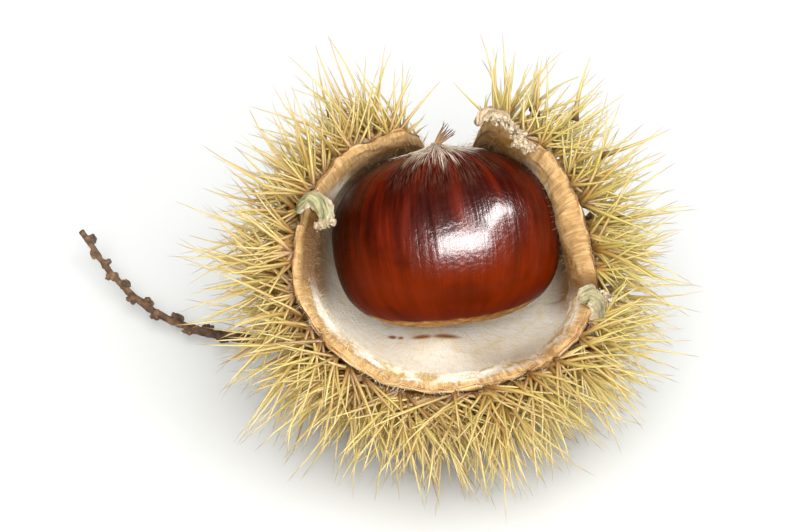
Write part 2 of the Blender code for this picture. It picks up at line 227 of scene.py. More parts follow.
def lumps(centres, sizes, turns, rings, columns, roughness, grain, seed):
    # Balls with rings and columns, stretched by three sizes, turned, and dented by soft noise
    latitude = np.linspace(-np.pi / 2, np.pi / 2, rings + 2)[1:-1, None]
    ring = turned(turnsRound(columns), np.cos(latitude), np.sin(latitude))
    ball = np.concatenate([ring.reshape(-1, 3), [[0, 0, -1], [0, 0, 1]]])
    shaped = np.einsum("nij,nkj->nki", turns, ball[None] * sizes[:, None])
    dent = softNoise(shaped + centres[:, None] * 3.1, grain, seed, 2)
    points = centres[:, None] + shaped * (1 + roughness * dent[..., None])
    faces = repeated(closedFaces(rings, columns), len(centres), len(ball))
    return points.reshape(-1, 3), faces, dent.reshape(-1), len(ball)


def joined(parts):
    # Several (points, faces, traits) as one, with the point numbers moved on
    points, faces, traits, first = [], [], {}, 0
    for somePoints, someFaces, someTraits in parts:
        points.append(somePoints)
        faces += [f + first for f in someFaces]
        for key, values in someTraits.items():
            traits.setdefault(key, []).append(values)
        first += len(somePoints)
    return np.concatenate(points), faces, {key: np.concatenate(v) for key, v in traits.items()}


def newMaterial(name):
    made = bpy.data.materials.new(name)
    made.use_nodes = True
    return made, made.node_tree, made.node_tree.nodes["Principled BSDF"]


def feed(made, inputs):
    # Each input is linked from another node's socket, or set to a value on its own socket
    for key, value in inputs.items():
        if isinstance(value, bpy.types.NodeSocket):
            made.id_data.links.new(value, made.inputs[key])
        else:
            made.inputs[key].default_value = value


def node(tree, kind, inputs, **settings):
    made = tree.nodes.new(kind)
    for key, value in settings.items():
        setattr(made, key, value)
    feed(made, inputs)
    return made


def objectCoords(tree):
    return node(tree, "ShaderNodeTexCoord", {}).outputs["Object"]


def trait(tree, name, output="Fac"):
    return node(tree, "ShaderNodeAttribute", {}, attribute_name=name).outputs[output]


def noiseOf(vector, scale, detail=3.0, roughness=0.55):
    # This function and those below add to the node tree that their first socket is in
    return node(vector.id_data, "ShaderNodeTexNoise",
                {"Vector": vector, "Scale": scale, "Detail": detail, "Roughness": roughness}).outputs["Fac"]


def streaksOf(vector, stretch, detail=3.0, roughness=0.55):
    # Noise that is finer along an axis the larger that axis' number is
    mapped = node(vector.id_data, "ShaderNodeMapping", {"Vector": vector, "Scale": stretch})
    return noiseOf(mapped.outputs["Vector"], 1.0, detail, roughness)


def maths(operation, a, b, clamp=False):
    return node(a.id_data, "ShaderNodeMath", {0: a, 1: b}, operation=operation, use_clamp=clamp).outputs[0]


def times(a, b):
    return maths("MULTIPLY", a, b)


def plus(a, b, clamp=False):
    return maths("ADD", a, b, clamp)


def swung(value, noise, reach, clamp=False):
    # A value moved by noise: value + (noise - 0.5) x reach
    return plus(value, times(maths("SUBTRACT", noise, 0.5), reach), clamp)


def between(value, low, high):
    # 0 below low and 1 above high, smooth between them; falls where low is the larger
    return node(value.id_data, "ShaderNodeMapRange", {"Value": value, "From Min": low, "From Max": high},
                interpolation_type="SMOOTHSTEP").outputs["Result"]


def colour(rgb):
    # sRGB numbers up to 255 as a linear colour: ((c + 0.055) / 1.055) ^ 2.4 above the dark end
    share = np.array(rgb) / 255
    linear = np.where(share <= 0.04045, share / 12.92, ((share + 0.055) / 1.055) ** 2.4)
    return (*linear.tolist(), 1.0)


def blend(share, a, b, strength=1.0):
    # Two colours mixed by a share of the strength; a colour is a socket or three sRGB numbers
    a, b = (v if isinstance(v, bpy.types.NodeSocket) else colour(v) for v in (a, b))
    share = share if strength == 1 else times(share, strength)
    return node(share.id_data, "ShaderNodeMix", {0: share, 6: a, 7: b}, data_type="RGBA").outputs[2]


def ramp(share, stops):
    # A colour ramp through (place, sRGB colour) stops
    made = node(share.id_data, "ShaderNodeValToRGB", {"Fac": share})
    elements = made.color_ramp.elements
    for place, _ in stops[2:]:
        elements.new(place)
    for element, (place, rgb) in zip(elements, stops):
        element.position = place
        element.color = colour(rgb)
    return made.outputs["Color"]


def bump(shader, height, distance):
    made = node(shader.id_data, "ShaderNodeBump", {"Height": height, "Distance": distance * mm, "Strength": 1.0})
    feed(shader, {"Normal": made.outputs["Normal"]})


place = {"huskCentre": (8.6, -0.9, 25.2), "mouthLean": 30}

view = {
    "aim": (-5.7, 0.0, 0.57),       # from the husk's centre: right, away along the floor, up the picture
    "elevation": 40, "distance": 412.8, "lens": 130, "sensor": 36, "nearest": 10,
    # soft lights: degrees right of the camera and above it, width, height, watts. The windows show
    # only in gloss, and the others only in matt surfaces
    "lights": {"windowLow": (15, -3, 500, 140, 17.0, True), "windowHigh": (57, 5, 380, 170, 14.0, True),
               "ceiling": (18, 18, 1300, 1300, 13.0, False), "frontFill": (-8, 4, 500, 500, 3.0, False)},
    "lightDistance": 800, "worldStrength": 0.6,
    "floor": (207, 208, 206), "floorRoughness": 0.9, "floorSize": 3000, "floorDrop": 0.05,
}

huskCentre = np.array(place["huskCentre"])
lean, rise = math.radians(place["mouthLean"]), math.radians(view["elevation"])
huskTurn = np.array([[1, 0, 0], [0, math.cos(lean), -math.sin(lean)], [0, math.sin(lean), math.cos(lean)]])


def toWorld(points):
    # From the husk's own frame, with Z out of its mouth, to the row frame
    return points @ huskTurn.T + huskCentre


def toHusk(points):
    # From the row frame to the husk's own frame
    return (points - huskCentre) @ huskTurn


def lookAt(thing, spot, aim):
    # An object's turn that points its -Z at the aim with its Y upwards
    way = Vector((np.array(aim) - np.array(spot)).tolist())
    thing.location = Vector(spot) * mm
    thing.rotation_euler = way.to_track_quat("-Z", "Y").to_euler()


def addCamera():
    data = bpy.data.cameras.new("camera")
    data.lens, data.sensor_width, data.clip_start = view["lens"], view["sensor"], view["nearest"] * mm
    camera = placed("camera", data)
    pictureUp = np.array([0, math.sin(rise), math.cos(rise)])
    towardsCamera = np.array([0, -math.cos(rise), math.sin(rise)])
    aim = huskCentre + np.array((view["aim"][0], view["aim"][1], 0)) + view["aim"][2] * pictureUp
    lookAt(camera, aim + view["distance"] * towardsCamera, aim)
    bpy.context.scene.camera = camera
    return aim


def addLight(name, right, up, wide, high, power, shiny, aim):
    # A soft square light at angles to the right of and above the camera's direction
    across, over = math.radians(right), rise + math.radians(up)
    way = np.array([math.sin(across) * math.cos(over), -math.cos(across) * math.cos(over), math.sin(over)])
    data = bpy.data.lights.new(name, "AREA")
    data.shape, data.size, data.size_y, data.energy = "RECTANGLE", wide * mm, high * mm, power
    light = placed(name, data)
    light.visible_camera = False
    light.visible_glossy = shiny
    light.visible_diffuse = not shiny
    lookAt(light, aim + way * view["lightDistance"], aim)


def addSurroundings():
    scene = bpy.context.scene
    scene.view_settings.view_transform = "Standard"
    world = bpy.data.worlds.new("soft white room")
    scene.world = world
    world.use_nodes = True
    feed(world.node_tree.nodes["Background"], {"Color": (1, 1, 1, 1), "Strength": view["worldStrength"]})
    world.cycles_visibility.glossy = False
    finish, _, shader = newMaterial("palePaper")
    feed(shader, {"Base Color": colour(view["floor"]), "Roughness": view["floorRoughness"]})
    half, low = view["floorSize"] / 2 * mm, -view["floorDrop"] * mm
    mesh = bpy.data.meshes.new("floor")
    mesh.from_pydata([(-half, -half, low), (half, -half, low), (half, half, low), (-half, half, low)], [],
                     [(0, 1, 2, 3)])
    mesh.materials.append(finish)
    floor = placed("floor", mesh)


aim = addCamera()
addSurroundings()
for lightName, values in view["lights"].items():
    addLight(lightName, *values, aim)
print("camera, floor and light are set")


husk = {
    # angle round the mouth in degrees, rim radius, rim height above the centre
    "rim": ((0, 20.3, 5.5), (20, 19.8, 7.8), (40, 20.1, 9.6), (56, 19.4, 10.2), (70, 20.0, 9.6), (84, 19.8, 8.0),
            (102, 18.9, 6.2), (128, 19.3, 7.2), (152, 19.1, 8.6), (176, 19.3, 9.0), (200, 19.7, 8.2),
            (226, 19.5, 8.0), (266, 19.0, 7.3), (296, 19.3, 7.3), (318, 20.9, 7.0), (340, 21.4, 6.3)),
    "baseDepth": 15.7, "backRoundness": 2.35, "frontRoundness": 1.8,
    "bulge": 1.3, "bulgeToRight": 0.7, "bulgeToBack": 1.6,
    "frontWall": 3.4, "backWall": 2.5, "baseWall": 4.0, "meridian": 32, "halfWall": 1.6,
    "flowRadius": 20, "step": 0.01,
    "cushionHeight": 3.0, "cushionWidth": 5.5, "cushionAt": -7.5,
    # splits: angle, half width in degrees, share of the meridian that has split, steepness of the sides
    "splits": ((87, 18.0, 0.32, 2.0), (349, 5.0, 0.16, 1.6), (166, 4.0, 0.08, 1.6)),
    "wander": ((29, 0, 0.10), (13, 40, 0.12)),     # waves round the mouth, start in degrees, height
    # (middle, width) of bells round the mouth
    "broadValves": ((20, 38), (130, 28)), "thickLip": (15, 42), "tornFront": (265, 50),
    "goldenAt": (314, 26), "tannedAt": (222, 26),
    "columns": 440, "outsideRows": 50, "rimRows": 50, "liningRows": 76, "rowPower": 0.9,
    "firstRow": 0.03, "rimStart": 0.965, "slopeStart": 0.86,
    # the crest's place across the wall, from 1 outside to -1 inside: in front and at a broad valve
    "crestFront": 0.72, "crestRight": 0.2, "crestDrop": 0.03, "crestPowers": (2.2, 1.9),
    "lipInward": 1.7, "layerHeight": 0.28, "lumpHeight": 0.36, "coarseHeight": 0.22, "crestHeight": 0.35,
    "ragged": 0.024, "torn": 0.018, "frontTear": 1.0,
    # noise: finer round the rim by this factor, size, seed, octaves
    "layers": (0.16, 0.55, 8, 2), "lumps": (0.6, 1.3, 9, 3), "coarse": (1.0, 3.2, 5, 3),
    "golden": 0.6, "tanned": 0.6,
    # marks on the cushion: x, half length, y, half width
    "scars": ((-6.8, 0.6, -7.0, 0.35), (-5.6, 0.4, -7.1, 0.3), (-2.5, 1.4, -7.2, 0.4), (1.0, 1.9, -7.2, 0.4)),
    "colours": {
        "outside": ((0.3, (48, 30, 12)), (0.5, (88, 60, 28)), (0.72, (140, 106, 56))),
        "crust": ((0.36, (96, 64, 34)), (0.45, (160, 118, 70)), (0.55, (196, 158, 104)), (0.66, (222, 198, 156))),
        "tan": ((0.3, (158, 118, 70)), (0.5, (188, 150, 98)), (0.72, (212, 180, 126))),
        "velvet": ((0.3, (240, 226, 192)), (0.46, (252, 245, 226)), (0.7, (255, 254, 248))),
        # brown: painted shade on the lining's sides and back, where the valves' hollows lie in shade
        "silk": (236, 216, 170), "patch": (206, 168, 104), "brown": (124, 84, 36), "scar": (164, 104, 44),
    },
    "roughness": 0.85, "specular": 0.1, "bump": 0.2,
}


def rimAt(degrees):
    # Rim radius and height: a smooth closed curve through the rim's rows
    table = np.array(husk["rim"], float)
    turned = np.mod(degrees, 360)
    after = np.searchsorted(table[:, 0], turned, side="right") % len(table)
    start = table[after - 1, 0]
    t = (np.mod(turned - start, 360) / np.mod(table[after, 0] - start, 360))[..., None]
    blended = cubicBlend(t, *(table[(after + k) % len(table), 1:] for k in (-2, -1, 0, 1)))
    return blended[..., 0], blended[..., 1]


def shareAt(degrees):
    # How much of the meridian is left: 1, less each split's cut times the eased (steepness x nearness),
    # where sine waves round the mouth make the split's edges wander
    share = np.ones(np.shape(degrees))
    wander = sum(np.sin(np.radians(degrees * waves + start)) * height for waves, start, height in husk["wander"])
    for at, halfWidth, cut, steepness in husk["splits"]:
        near = 1 - np.abs(np.mod(degrees - at + 180, 360) - 180) / halfWidth
        share = share - cut * ease(steepness * (near + wander * near)) * (1 + 0.5 * wander)
    return share


def bellAt(degrees, middle, width):
    # exp(-(degrees from the middle / width)^2)
    return np.exp(-((np.mod(degrees - middle + 180, 360) - 180) / width) ** 2)


def compass(degrees):
    # The level directions out of the husk's axis and round it
    out = turned(np.radians(degrees), 1.0, 0.0)
    return out, np.cross((0.0, 0.0, 1.0), out)


def bearing(points):
    # Degrees round the husk's axis
    return np.degrees(np.arctan2(points[:, 1], points[:, 0]))


def middleOfWall(degrees, s):
    # A bowl: out = radius x sine + bulge x sin^2(pi s^2), up = height - (height + depth) x cosine,
    # where sine and cosine of s are raised to 2 / roundness; s is 0 at the base and 1 at the rim
    radius, height = rimAt(degrees)
    turn = np.radians(degrees)
    front = np.maximum(0, -np.sin(turn))
    power = 2 / (husk["backRoundness"] + (husk["frontRoundness"] - husk["backRoundness"]) * front)
    bulge = husk["bulge"] + husk["bulgeToRight"] * np.cos(turn) + husk["bulgeToBack"] * np.sin(turn)
    sine = np.sin(np.pi * s / 2) ** power
    cosine = np.maximum(0, np.cos(np.pi * s / 2)) ** power
    out = radius * sine + bulge * np.sin(np.pi * s * s) ** 2
    return turned(turn, out, height - (height + husk["baseDepth"]) * cosine)


def upTheWall(degrees, s):
    return middleOfWall(degrees, s + husk["step"]) - middleOfWall(degrees, s - husk["step"])


def wallNormal(degrees, s):
    # Across the wall: the level direction crossed with a short step up the meridian, and straight
    # down at the base
    s = np.clip(s, 2 * husk["step"], 1 - 1.5 * husk["step"])
    normal = unit(np.cross(compass(degrees)[1], upTheWall(degrees, s)))
    flat = ease(1 - s / 0.06)[..., None]
    return unit(normal * (1 - flat) + np.array([0, 0, -1.0]) * flat)


def wallSkin(degrees, s, side):
    # The middle of the wall plus its normal times half its thickness: side is 1 outside and -1 in the
    # lining, which also rises in the bell-shaped cushion that the nut grew on
    back = 0.5 + 0.5 * np.sin(np.radians(degrees))
    thickness = husk["frontWall"] + (husk["backWall"] - husk["frontWall"]) * back
    thickness = thickness + (husk["baseWall"] - thickness) * (1 - s) ** 2
    points = middleOfWall(degrees, s) + wallNormal(degrees, s) * (side * thickness / 2)[..., None]
    spot = np.hypot(points[..., 0], points[..., 1] - husk["cushionAt"]) / husk["cushionWidth"]
    points[..., 2] += husk["cushionHeight"] * np.exp(-spot**2) * ease(-2 * side)
    return points


def huskNoise(points, name):
    around, size, seed, octaves = husk[name]
    return softNoise(points * np.array([around, around, 1.0]), size, seed, octaves)


def huskWallGrid():
    # Rows run up the outside, over the crest and down a slope into the lining. Over the rim the place
    # across the wall falls evenly, and s falls to each side of the crest by a power of the distance from
    # it. Noise frays the crest and raises thin layers along it, and the lip of one valve is thicker inside
    degrees = np.arange(husk["columns"]) * 360 / husk["columns"]
    circle = turned(np.radians(degrees), husk["flowRadius"], 0.0)
    tear = husk["ragged"] * softNoise(circle, 1.7, 3, 3) + husk["torn"] * softNoise(circle, 0.9, 4, 2)
    share = shareAt(degrees) + tear * (1 + husk["frontTear"] * bellAt(degrees, *husk["tornFront"]))
    broad = sum(bellAt(degrees, *valve) for valve in husk["broadValves"])
    crest = husk["crestFront"] + (husk["crestRight"] - husk["crestFront"]) * np.minimum(broad, 1)
    power, slope, (outer, inner) = husk["rowPower"], husk["slopeStart"], husk["crestPowers"]
    low = np.linspace(husk["firstRow"], husk["rimStart"], husk["outsideRows"], endpoint=False) ** power
    high = np.linspace(slope, husk["firstRow"], husk["liningRows"] + 1)[1:] ** power
    over = np.linspace(0, 1, husk["rimRows"])[:, None]
    side = 1 - 2 * ease(over * 0.5 + over**2 * 0.5)
    down = np.where(side > crest, (side - crest) / (1 - crest), (crest - side) / (1 + crest))
    drop = np.where(side > crest, husk["crestDrop"] * down**outer, (1 - slope**power) * down**inner)
    ones = np.ones(len(degrees))
    climb = np.concatenate([low[:, None] * ones, 1 - drop, high[:, None] * ones])
    sides = np.concatenate([np.ones((len(low), len(ones))), side * ones, -np.ones((len(high), len(ones)))])
    s = climb * share[None]
    around = np.broadcast_to(degrees, s.shape)
    points, normal = wallSkin(around, s, sides), wallNormal(around, s)
    profile = np.stack([climb[:, 0] * husk["meridian"], sides[:, 0] * husk["halfWall"]], -1)
    flow = turned(np.radians(degrees), husk["flowRadius"], reachAlong(profile)[:, None])
    rim = ease((climb - 0.84) / 0.08)
    layers, lumpy, coarse = huskNoise(flow, "layers"), huskNoise(flow, "lumps"), huskNoise(points, "coarse")
    outside = ease((sides + 0.2) / 0.8)
    push = rim * (husk["layerHeight"] * layers * (0.35 + 0.65 * outside) + husk["lumpHeight"] * lumpy)
    push = push + husk["coarseHeight"] * coarse * (0.5 + 0.5 * outside)
    points = points + normal * (push * np.sign(sides + 0.2))[..., None]
    lip = ease((climb - 0.62) / 0.3) * ease((0.5 - sides) / 1.2)
    points = points - normal * (husk["lipInward"] * bellAt(degrees, *husk["thickLip"]) * lip)[..., None]
    points[..., 2] += rim * husk["crestHeight"] * lumpy * (1 - np.abs(sides))
    return points, s, sides, share, flow, broad


wallGrid, wallS, wallSide, wallShare, wallFlow, wallBroad = huskWallGrid()


def shadeAndGoldenShare(points):
    # How much painted shade the lining gets as brown: 1 at the sides and the back, where the valves' hollows lie in
    # shade,
    # 0 in front of the nut, and a share of the same brown in a golden band below the rim at the front right
    degrees = bearing(points)
    below = ease((points[:, 2] - rimAt(degrees)[1] + 18) / 6)
    sides = np.maximum(ease((np.abs(points[:, 0] - 0.5) - 13.5) / 4.5), ease((points[:, 1] - 9) / 6))
    return np.maximum(sides * ease((points[:, 1] + 9) / 8),
                      husk["golden"] * bellAt(degrees, *husk["goldenAt"]) * below)


def scarAt(points):
    # Rough marks on top of the cushion where the neighbouring nuts were fixed: soft ellipses
    marks = np.zeros(len(points))
    for x, halfLong, y, halfWide in husk["scars"]:
        away = np.hypot((points[:, 0] - x) / halfLong, (points[:, 1] - y) / halfWide)
        marks = np.maximum(marks, ease(1.5 - away))
    return marks * (points[:, 2] > -15)


def addHuskWall(finish):
    base, lining = (wallSkin(np.zeros(1), np.full(1, 0.001), np.full(1, k))[0] for k in (1.0, -1.0))
    points, faces = closedGrid(wallGrid, base, lining)
    degrees = np.arange(husk["columns"]) * 360 / husk["columns"]
    tanned = wallBroad + husk["tanned"] * bellAt(degrees, *husk["tannedAt"])
    fromRim = (wallShare - wallS) * husk["meridian"]
    traits = {"zone": np.append((1 - wallSide).reshape(-1) / 2, [0, 1]),
              "fromRim": np.append(fromRim.reshape(-1), [husk["meridian"]] * 2),
              # side: the share of painted shade, as brown, on the lining, and the golden band below the rim
              "side": shadeAndGoldenShare(points), "scar": scarAt(points),
              "broad": np.append(np.broadcast_to(tanned, wallS.shape), [0, 0]),
              "flow": np.concatenate([wallFlow.reshape(-1, 3), np.zeros((2, 3))])}
    addPiece("huskWall", toWorld(points), faces, finish, "husk", traits)


def huskFinish():
    # From outside to inside: dark felt, layered crust, tan rim, and a pale velvet with golden patches,
    # with painted shade as brown at its sides and back.
    # Noise frays the places across the wall where one gives way to the next
    paint = husk["colours"]
    finish, tree, shader = newMaterial("huskFeltAndVelvet")
    coords, flow = objectCoords(tree), trait(tree, "flow", "Vector")
    zone, fromRim, broad = (trait(tree, name) for name in ("zone", "fromRim", "broad"))
    layer = streaksOf(flow, (0.22, 0.22, 2.6), 4.0, 0.6)
    across = streaksOf(flow, (2.4, 2.4, 0.5), 4.0, 0.65)
    silk = streaksOf(flow, (1.5, 1.5, 0.3), 5.0, 0.65)
    blotch = noiseOf(coords, 260.0, 4.0)
    fine = noiseOf(coords, 1900.0, 4.0, 0.7)
    velvet = ramp(noiseOf(coords, 420.0, 5.0, 0.6), paint["velvet"])
    patchy = times(between(fromRim, 8.0, 1.5), between(blotch, 0.45, 0.62))
    lining = blend(between(silk, 0.48, 0.66), velvet, paint["silk"], 0.35)
    lining = blend(patchy, lining, paint["patch"])
    # painted shade: the lining browner at its sides and back
    lining = blend(trait(tree, "side"), lining, paint["brown"], 0.95)
    lining = blend(trait(tree, "scar"), lining, paint["scar"])
    frayed = swung(zone, swung(blotch, across, 0.35), 0.6)
    edge = blend(between(zone, 0.01, 0.05), ramp(blotch, paint["outside"]), ramp(layer, paint["crust"]))
    edge = blend(between(frayed, 0.14, 0.30), edge, ramp(across, paint["tan"]))
    inner = maths("SUBTRACT", frayed, times(broad, 0.42))
    feed(shader, {"Base Color": blend(between(inner, 0.30, 0.50), edge, lining),
                  "Roughness": husk["roughness"], "Specular IOR Level": husk["specular"]})
    bump(shader, plus(fine, plus(layer, across)), husk["bump"])
    return finish


fluff = {
    "count": 3000, "firstRow": 58, "lastRow": 112, "length": (0.4, 1.5), "radius": 0.022, "tipRadius": 0.008,
    "scatter": 0.5, "bend": (0.05, 0.25), "cream": (246, 236, 208), "tan": (176, 134, 80), "roughness": 0.7,
}


def addFluff(finish):
    # Short silky hairs on the rim and the lining's edge: each leaves the skin along the skin's own normal,
    # which is the cross product of its two grid directions, tilted by a random share
    draw = np.random.default_rng(77)
    row = draw.integers(fluff["firstRow"], fluff["lastRow"], fluff["count"])
    column = draw.integers(0, husk["columns"], fluff["count"])
    after, before = (column + 1) % husk["columns"], column - 1
    roots = wallGrid[row, column]
    normal = unit(np.cross(wallGrid[row + 1, column] - wallGrid[row - 1, column],
                           wallGrid[row, after] - wallGrid[row, before]))
    side = wallSide[row, column][:, None]
    outward = wallNormal(column * 360 / husk["columns"], wallS[row, column])
    guide = outward * side + np.array([0, 0, 1.0]) * (1 - np.abs(side))
    normal = normal * np.sign((normal * guide).sum(-1))[:, None]
    way = unit(normal * 0.6 + draw.normal(0, fluff["scatter"], roots.shape))
    way = unit(way + normal * np.maximum(0.1 - (way * normal).sum(-1), 0)[:, None])
    tips = roots + way * draw.uniform(*fluff["length"], len(roots))[:, None]
    points, faces, along, each = needles(toWorld(roots - normal * 0.05), toWorld(tips),
                                         fluff["radius"], fluff["tipRadius"], 3, 3,
                                         draw.uniform(*fluff["bend"], len(roots)), draw)
    # tan on the broad valves, plus painted shade as tan where the lining's sides and back are painted brown
    tanAndShade = np.repeat(np.minimum(wallBroad[column] * 1.2 + shadeAndGoldenShare(roots), 1), each)
    addPiece("rimFluff", points, faces, finish, "husk", {"along": along, "broad": tanAndShade})


def fluffFinish():
    finish, tree, shader = newMaterial("silkyFluff")
    # the tan share is the valves' own tan plus painted shade from the lining's shaded sides
    feed(shader, {"Base Color": blend(trait(tree, "broad"), fluff["cream"], fluff["tan"]),
                  "Roughness": fluff["roughness"]})
    return finish


addHuskWall(huskFinish())
addFluff(fluffFinish())
print("husk wall and its fluff are made")


# The withered ends of the valves, with points in the husk's own frame
valveEnds = {
    # path, half width, half thickness, share of green
    "flaps": {
        "leftEar": (((-20.4, 6.4, 6.8), (-19.4, 7.0, 8.6), (-18.2, 7.4, 9.5), (-16.9, 6.5, 9.9), (-16.3, 4.8, 9.7),
                     (-16.5, 3.0, 9.0)), 1.3, 0.45, 0.9),
        "rightCurl": (((21.0, -11.2, 2.6), (22.2, -9.6, 4.6), (22.2, -7.4, 6.4), (20.8, -6.3, 7.4),
                       (19.2, -7.0, 7.3)), 1.35, 0.6, 0.7),
        "rightFold": (((22.6, -10.4, 3.8), (23.2, -8.4, 5.2), (22.8, -6.8, 6.2), (21.6, -6.2, 6.4)), 0.9, 0.5, 0.3),
        "topHook": (((5.2, 17.9, 10.3), (5.6, 19.2, 10.8), (6.8, 20.0, 11.0), (8.4, 19.8, 11.0),
                     (10.0, 18.4, 10.9)), 0.75, 0.5, 0.0),
    },
    # path, spread round it, least and most size, count
    "crumbs": {
        "leftEarEnd": (((-17.4, 3.2, 9.0), (-15.0, 4.0, 9.6)), 0.28, 0.15, 0.5, 60),
        "rightBack": (((22.2, -5.6, 6.6), (23.8, -7.0, 5.6)), 0.35, 0.15, 0.5, 40),
        "topChain": (((7.6, 19.3, 10.7), (9.6, 18.0, 10.7), (10.8, 16.6, 10.6), (11.4, 15.2, 10.6),
                      (12.9, 14.4, 10.4)), 0.36, 0.12, 0.5, 300),
    },
    "along": 44, "around": 30, "wrinkle": 0.16, "rumple": 0.25, "curl": 0.9,
    "dry": ((0.36, (88, 64, 40)), (0.48, (144, 116, 82)), (0.62, (192, 170, 134))),
    "fresh": ((0.36, (84, 80, 46)), (0.48, (128, 126, 80)), (0.62, (168, 164, 116))),
    "chalk": ((0.34, (138, 114, 82)), (0.5, (188, 168, 134)), (0.68, (234, 226, 208))),
    "roughness": 0.85, "bump": 0.16,
}


def flap(path, halfWidth, halfThick, green, seed):
    # A flattened tube along the path, which faces out of the mouth. It narrows to both ends as
    # (1 - (2t - 1)^6)^0.5, and cosine wrinkles run lengthwise along it
    line = smoothPath(path, 12)
    t = np.linspace(0, 1, valveEnds["along"])
    line = placesOn(line, t, np.linspace(0, 1, len(line)))
    facing = unit(line * np.array([0.6, 0.6, 0.0]) + np.array([0, 0, 14.0]))
    _, across, over = frameOf(line, facing)
    narrow = (1 - np.abs(2 * t - 1) ** 6) ** 0.5 + 0.05
    turn = turnsRound(valveEnds["around"])
    x = np.cos(turn)[None] * narrow[:, None] * halfWidth
    y = np.sin(turn)[None] * narrow[:, None] * halfThick
    grid = line[:, None] + x[..., None] * across[:, None] + y[..., None] * over[:, None]
    rough = softNoise(grid, 1.4, seed, 3)
    ridges = np.cos(x * 7.0 + 6.0 * rough) * valveEnds["wrinkle"]
    ridges = ridges + valveEnds["rumple"] * softNoise(grid, 0.6, seed + 5, 3)
    curl = (x / halfWidth) ** 2 * halfThick * valveEnds["curl"]
    grid = grid + over[:, None] * ((ridges + 0.3 * rough) * np.sign(y) - curl)[..., None] * narrow[:, None, None]
    grid = grid + across[:, None] * (0.5 * rough * np.abs(x) / halfWidth)[..., None]
    points, faces = closedGrid(grid, line[0], line[-1])
    edge = np.append((np.abs(x) / halfWidth).reshape(-1), [0, 0])
    flow = np.stack([x, y, t[:, None] * 6 + 0 * x], -1).reshape(-1, 3)
    return points, faces, {"green": np.full(len(points), green), "pale": edge**4 * 0.8,
                           "flow": np.concatenate([flow, np.zeros((2, 3))]) + seed * 3.0}


def addValveEnds(finish):
    # Flaps, and chalky crumbs scattered round a path by a normal spread
    draw = np.random.default_rng(52)
    parts = [flap(*row, 60 + i) for i, row in enumerate(valveEnds["flaps"].values())]
    for path, spread, least, most, count in valveEnds["crumbs"].values():
        centre = placesOn(np.array(path), draw.uniform(0, len(path) - 1, count), np.arange(len(path)))
        centre = centre + draw.normal(0, spread, (count, 3))
        sizes = draw.uniform(least, most, count)[:, None] * draw.uniform(0.35, 1.25, (count, 3))
        turns = axesFrom(unit(draw.normal(size=(count, 3))), draw)
        points, faces, dent, _ = lumps(centre, sizes, turns, 8, 12, 0.8, 0.3, 70)
        parts.append((points, faces, {"green": np.full(len(points), 0.1), "pale": 0.5 + dent * 1.4,
                                      "flow": points * 0.8}))
    points, faces, traits = joined(parts)
    addPiece("valveEnds", toWorld(points), faces, finish, "husk", traits)


def witheredFinish():
    finish, tree, shader = newMaterial("witheredValveEnds")
    streak = streaksOf(trait(tree, "flow", "Vector"), (2.6, 2.6, 0.5), 4.0, 0.6)
    fine = noiseOf(objectCoords(tree), 1500.0, 4.0, 0.65)
    dry, fresh = (ramp(streak, valveEnds[name]) for name in ("dry", "fresh"))
    mixed = blend(trait(tree, "green"), dry, fresh)
    feed(shader, {"Base Color": blend(trait(tree, "pale"), mixed, ramp(fine, valveEnds["chalk"])),
                  "Roughness": valveEnds["roughness"]})
    bump(shader, plus(streak, fine), valveEnds["bump"])
    return finish


addValveEnds(witheredFinish())
print("valve ends are made")


catkin = {
    # from the husk's base to the free end, measured from the husk's centre
    "path": ((-1, 8.6, -16.9), (-8, 9.6, -20.9), (-19, 10.5, -22.7), (-32.5, 11.8, -22.9), (-42.3, 16.4, -22.7),
             (-49.5, 24, -21.9), (-55.4, 33.3, -20.2)),
    "thick": 0.85, "thin": 0.42, "sides": 12, "steps": 40, "grooves": 3, "grooveDepth": 0.10, "twist": 0.9,
    "knotSpacing": 2.75, "knotRadius": (1.25, 0.85), "bracts": 11, "bractSize": (0.28, 0.55), "bractLength": 1.5,
    "dark": ((0.3, (34, 18, 10)), (0.5, (64, 38, 22)), (0.72, (106, 70, 42))),
    "light": ((0.3, (58, 38, 22)), (0.5, (104, 74, 44)), (0.72, (150, 116, 76))),
    "roughness": 0.85, "bump": 0.15,
}


def catkinLine(steps):
    # A smooth curve through the path's points, in the row frame
    return smoothPath(np.array(catkin["path"]) + huskCentre, steps)


spine = {
    "shortestCad": 4.5, "starReach": 1.9, "baseRadius": (0.31, 0.44), "tipRadius": 0.03, "extraRadius": 0.82,
    "bend": (0.01, 0.075), "flare": 0.6, "sides": 5, "steps": 5, "floorGap": 0.15, "catkinGap": 1.7, "mouthGap": 0.6,
    "extra": 1750, "extraLength": (0.55, 1.0), "crossing": 0.3, "sway": 0.32, "lobeSize": 13, "lobeHeight": 0.3,
    # below the rim: stars all round, spines in each, length, depth as a share of the meridian,
    # climb up the wall, and the share that runs along the rim
    "rimStars": 84, "rimEach": 7, "rimLength": (4.0, 12.5), "rimBelow": (0.02, 0.09), "rimClimb": (-0.6, 0.85),
    "rimAside": 0.9, "frontCrossing": 1.6, "frontLonger": 0.3, "frontAt": (272, 34),
    "notch": (70, 105), "notchLength": (3.0, 6.5), "notchClimb": (-1.6, -0.5), "tuft": 0.4, "tuftAt": (288, 15),
    "straw": ((0.0, (84, 48, 16)), (0.14, (144, 102, 42)), (0.38, (188, 156, 84)), (0.8, (210, 188, 122)),
              (1.0, (188, 150, 88))),
    "green": ((0.0, (80, 48, 16)), (0.14, (140, 106, 42)), (0.4, (186, 166, 82)), (0.8, (202, 186, 112)),
              (1.0, (176, 146, 82))),
    "brown": ((0.0, (96, 62, 30)), (0.4, (160, 122, 70)), (1.0, (150, 108, 66))), "patch": (164, 126, 68),
    "roughness": 0.5, "specular": 0.4, "bump": 0.05,
}


